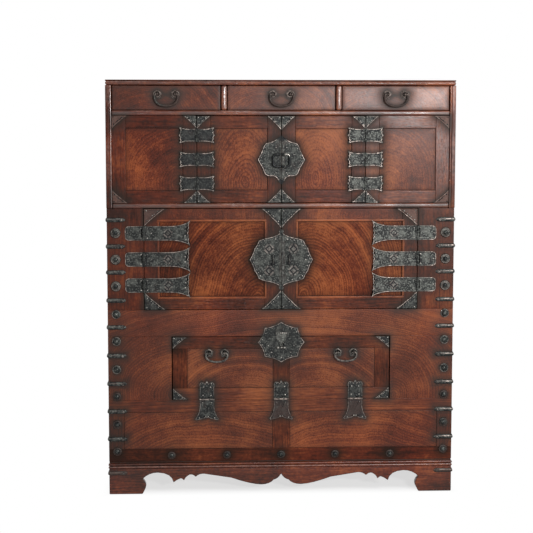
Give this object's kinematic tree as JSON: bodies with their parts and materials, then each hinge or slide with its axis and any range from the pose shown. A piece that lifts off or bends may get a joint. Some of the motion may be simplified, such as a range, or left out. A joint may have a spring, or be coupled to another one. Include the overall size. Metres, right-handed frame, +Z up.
{
  "type": "bandaji chest",
  "caption": "Tall wooden chest with small drawers, hinged door pairs and a drop front, bound with dark iron hinges, bails and a hasp, on a scalloped base.",
  "frame": {"origin": "middle of the floor rectangle that the chest covers, handles included, at floor level", "axes": "+Z up, -Y to the front with the doors, +X to the viewer's right"},
  "size_m": [1.224, 0.4984, 1.46],
  "materials": {
    "red_wood": "oiled and worn",
    "dark_wood": "oiled and darkened",
    "dark_iron": "hand forged, blackened"
  },
  "bodies": {
    "root": {"back_panel": "red_wood", "base_moulding": "dark_wood", "base_stand": "dark_wood", "bottom_board": "red_wood", "cheek_left": "red_wood", "cheek_right": "red_wood", "drawer_deck": "dark_wood", "drawer_divider_left": "dark_wood", "drawer_divider_right": "dark_wood", "drop_hinge_fixed_centre": "dark_iron", "drop_hinge_fixed_left": "dark_iron", "drop_hinge_fixed_right": "dark_iron", "lower_front": "red_wood", "lower_shelf": "red_wood", "lower_top_rail": "dark_wood", "middle_hinge_fixed_left_1": "dark_iron", "middle_hinge_fixed_left_2": "dark_iron", "middle_hinge_fixed_left_3": "dark_iron", "middle_hinge_fixed_right_1": "dark_iron", "middle_hinge_fixed_right_2": "dark_iron", "middle_hinge_fixed_right_3": "dark_iron", "middle_stile_left": "dark_wood", "middle_stile_right": "dark_wood", "side_left": "dark_wood", "side_right": "dark_wood", "top_board": "dark_wood", "upper_hinge_fixed_left_1": "dark_iron", "upper_hinge_fixed_left_2": "dark_iron", "upper_hinge_fixed_left_3": "dark_iron", "upper_hinge_fixed_right_1": "dark_iron", "upper_hinge_fixed_right_2": "dark_iron", "upper_hinge_fixed_right_3": "dark_iron", "waist_board": "dark_wood", "wing_left": "red_wood", "wing_right": "red_wood"},
    "drawer_bail_centre": {"drawer_bail_centre": "dark_iron"},
    "drawer_bail_left": {"drawer_bail_left": "dark_iron"},
    "drawer_bail_right": {"drawer_bail_right": "dark_iron"},
    "drawer_centre": {"drawer_centre": "red_wood"},
    "drawer_left": {"drawer_left": "red_wood"},
    "drawer_right": {"drawer_right": "red_wood"},
    "drop_front": {"drop_front": "red_wood", "drop_hinge_moving_centre": "dark_iron", "drop_hinge_moving_left": "dark_iron", "drop_hinge_moving_right": "dark_iron"},
    "drop_front_bail_left": {"drop_front_bail_left": "dark_iron"},
    "drop_front_bail_right": {"drop_front_bail_right": "dark_iron"},
    "hasp": {"hasp": "dark_iron"},
    "middle_door_left": {"middle_door_left": "red_wood", "middle_straps_left": "dark_iron"},
    "middle_door_right": {"middle_door_right": "red_wood", "middle_straps_right": "dark_iron"},
    "upper_door_left": {"upper_door_left": "red_wood", "upper_hinge_moving_left_1": "dark_iron", "upper_hinge_moving_left_2": "dark_iron", "upper_hinge_moving_left_3": "dark_iron"},
    "upper_door_right": {"upper_door_right": "red_wood", "upper_hinge_moving_right_1": "dark_iron", "upper_hinge_moving_right_2": "dark_iron", "upper_hinge_moving_right_3": "dark_iron"}
  },
  "joints": [
    {"name": "drawer_left_slide", "type": "slide", "parent": "root", "child": "drawer_left", "axis": [0, -1, 0], "range_m": [0, 0.33]},
    {"name": "drawer_bail_left_swing", "type": "hinge", "parent": "drawer_left", "child": "drawer_bail_left", "pos_m": [-0.39967, -0.24275, 1.41], "axis": [-1, 0, 0], "range_deg": [0, 90]},
    {"name": "drawer_centre_slide", "type": "slide", "parent": "root", "child": "drawer_centre", "axis": [0, -1, 0], "range_m": [0, 0.33]},
    {"name": "drawer_bail_centre_swing", "type": "hinge", "parent": "drawer_centre", "child": "drawer_bail_centre", "pos_m": [0, -0.24275, 1.41], "axis": [-1, 0, 0], "range_deg": [0, 90]},
    {"name": "drawer_right_slide", "type": "slide", "parent": "root", "child": "drawer_right", "axis": [0, -1, 0], "range_m": [0, 0.33]},
    {"name": "drawer_bail_right_swing", "type": "hinge", "parent": "drawer_right", "child": "drawer_bail_right", "pos_m": [0.39967, -0.24275, 1.41], "axis": [-1, 0, 0], "range_deg": [0, 90]},
    {"name": "upper_door_left_hinge", "type": "hinge", "parent": "root", "child": "upper_door_left", "pos_m": [-0.29475, -0.23425, 1.18525], "axis": [0, 0, -1], "range_deg": [0, 160]},
    {"name": "upper_door_right_hinge", "type": "hinge", "parent": "root", "child": "upper_door_right", "pos_m": [0.29475, -0.23425, 1.18525], "axis": [0, 0, 1], "range_deg": [0, 160]},
    {"name": "middle_door_left_hinge", "type": "hinge", "parent": "root", "child": "middle_door_left", "pos_m": [-0.481, -0.23425, 0.8365], "axis": [0, 0, -1], "range_deg": [0, 160]},
    {"name": "middle_door_right_hinge", "type": "hinge", "parent": "root", "child": "middle_door_right", "pos_m": [0.481, -0.23425, 0.8365], "axis": [0, 0, 1], "range_deg": [0, 160]},
    {"name": "drop_front_hinge", "type": "hinge", "parent": "root", "child": "drop_front", "pos_m": [0, -0.23425, 0.3385], "axis": [1, 0, 0], "range_deg": [0, 150]},
    {"name": "drop_front_bail_left_swing", "type": "hinge", "parent": "drop_front", "child": "drop_front_bail_left", "pos_m": [-0.228, -0.24275, 0.5045], "axis": [-1, 0, 0], "range_deg": [0, 90]},
    {"name": "drop_front_bail_right_swing", "type": "hinge", "parent": "drop_front", "child": "drop_front_bail_right", "pos_m": [0.228, -0.24275, 0.5045], "axis": [-1, 0, 0], "range_deg": [0, 90]},
    {"name": "hasp_hinge", "type": "hinge", "parent": "drop_front", "child": "hasp", "pos_m": [0, -0.23725, 0.523], "axis": [1, 0, 0], "range_deg": [0, 150]}
  ]
}
